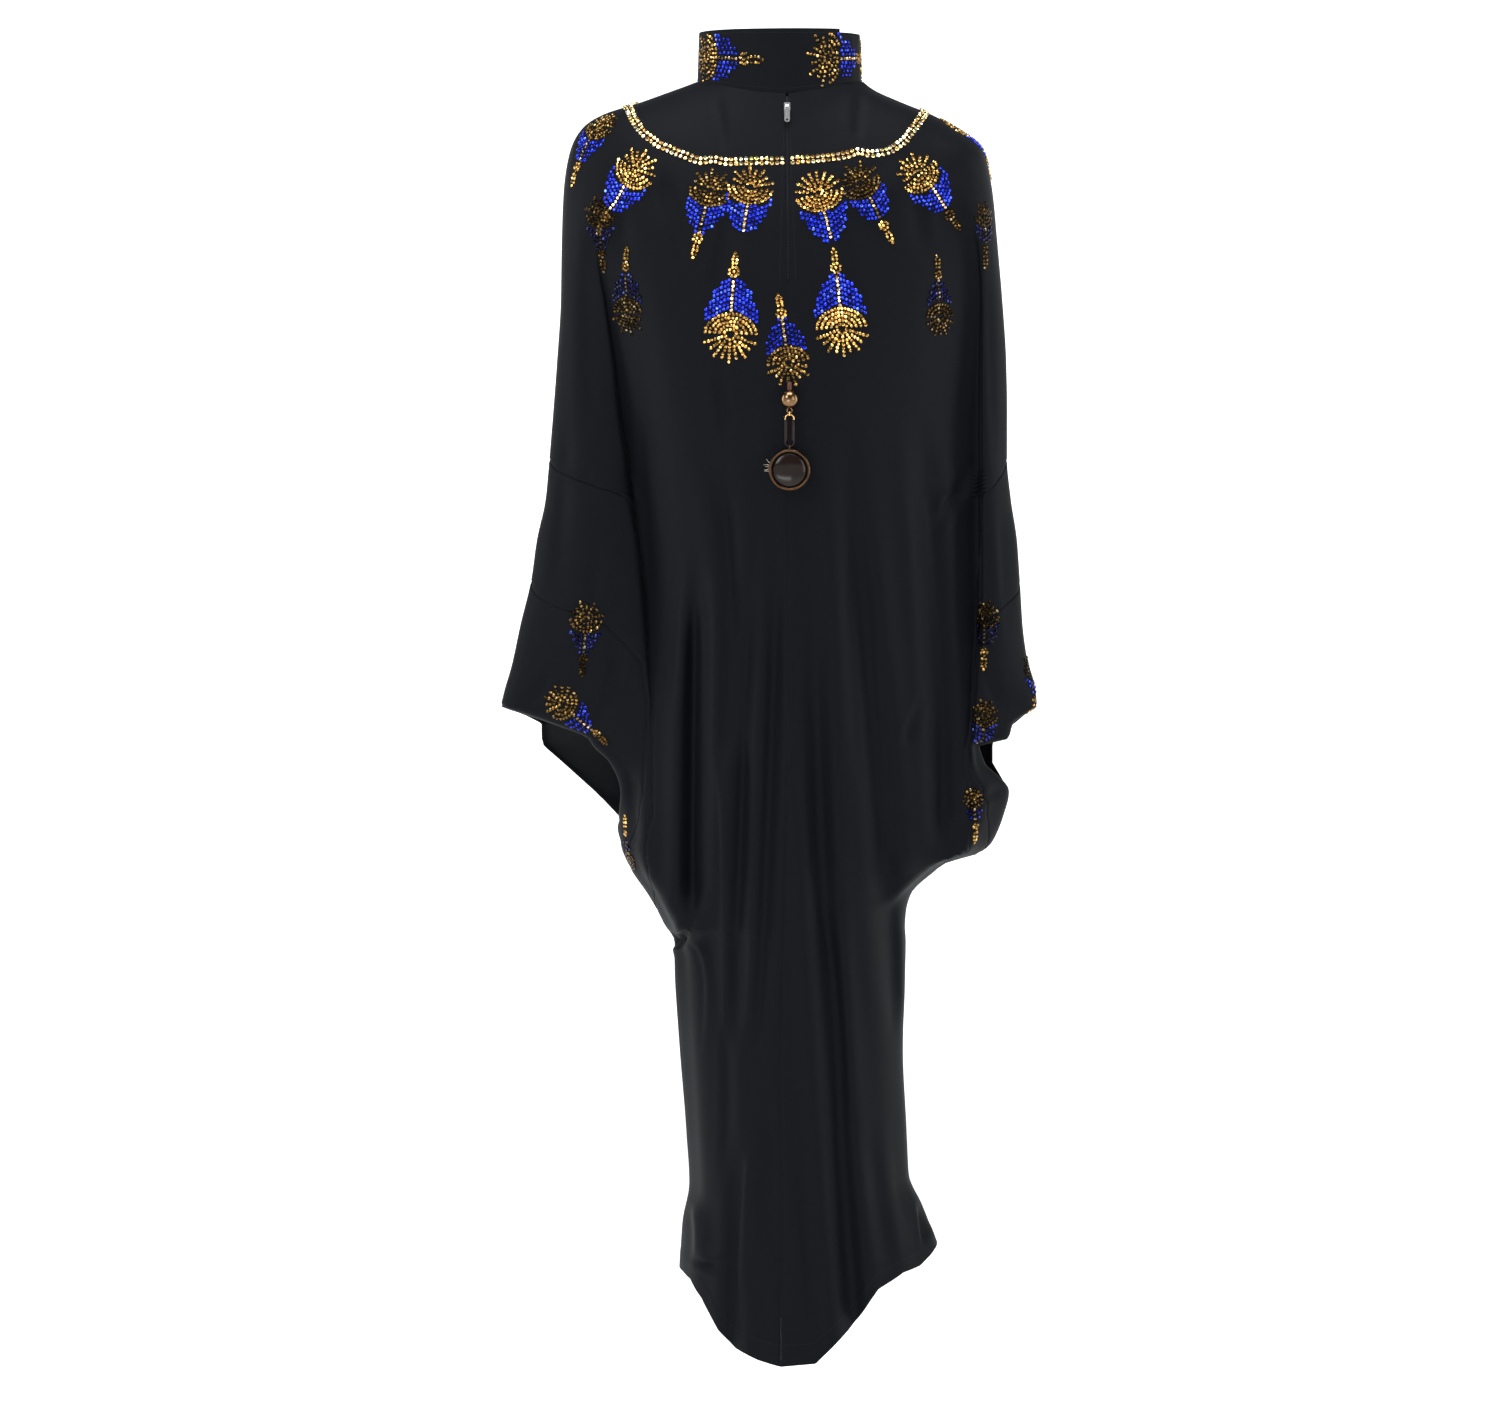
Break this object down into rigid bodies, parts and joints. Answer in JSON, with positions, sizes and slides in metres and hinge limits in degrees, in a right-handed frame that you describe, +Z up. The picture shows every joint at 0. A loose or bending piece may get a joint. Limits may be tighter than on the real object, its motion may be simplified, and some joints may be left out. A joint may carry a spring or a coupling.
{
  "type": "butterfly abaya",
  "caption": "Long black butterfly abaya with a stand collar, wide sleeves, a beaded yoke line and feather motifs, a short front zip and a hanging pendant; hollow, as worn.",
  "frame": {"origin": "middle of the neck at the height of the high shoulder points", "axes": "+Z up, +X to the right of a viewer in front of the garment, the front faces -Y"},
  "size_m": [0.557, 0.2743, 1.3821],
  "materials": {
    "cloth": "matt black crepe",
    "zip": "black nylon coil and woven tape",
    "silver": "polished zip metal",
    "gold": "warm gold, polished",
    "dark": "glossy near black",
    "stone_gold": "faceted gold rhinestone",
    "stone_blue": "faceted cobalt rhinestone"
  },
  "bodies": {
    "garment": {"front_left": "cloth", "front_right": "cloth", "back": "cloth", "sleeve_front_left": "cloth", "cuff_front_left": "cloth", "sleeve_back_left": "cloth", "cuff_back_left": "cloth", "sleeve_front_right": "cloth", "cuff_front_right": "cloth", "sleeve_back_right": "cloth", "cuff_back_right": "cloth", "collar": "cloth", "zip_tape": "zip", "zip_slider": "silver", "pendant_bead": "gold"},
    "zip_pull": {"zip_pull": "silver"},
    "pendant_ring": {"pendant_ring": "gold"},
    "pendant_drop": {"pendant_link": "dark", "medallion_rim": "gold", "medallion_stone": "dark"}
  },
  "joints": [
    {"name": "pull_hinge", "type": "hinge", "parent": "garment", "child": "zip_pull", "pos_m": [0.00714, -0.07759, -0.02231], "axis": [-1, 0, 0], "range_deg": [0, 150]},
    {"name": "pendant_swing", "type": "hinge", "parent": "garment", "child": "pendant_ring", "pos_m": [0.0094, -0.14282, -0.3413], "axis": [-1, 0, 0], "range_deg": [0, 75]},
    {"name": "pendant_sway", "type": "hinge", "parent": "pendant_ring", "child": "pendant_drop", "pos_m": [0.0094, -0.14282, -0.3446], "axis": [0, -1, 0], "range_deg": [-25, 25]}
  ]
}
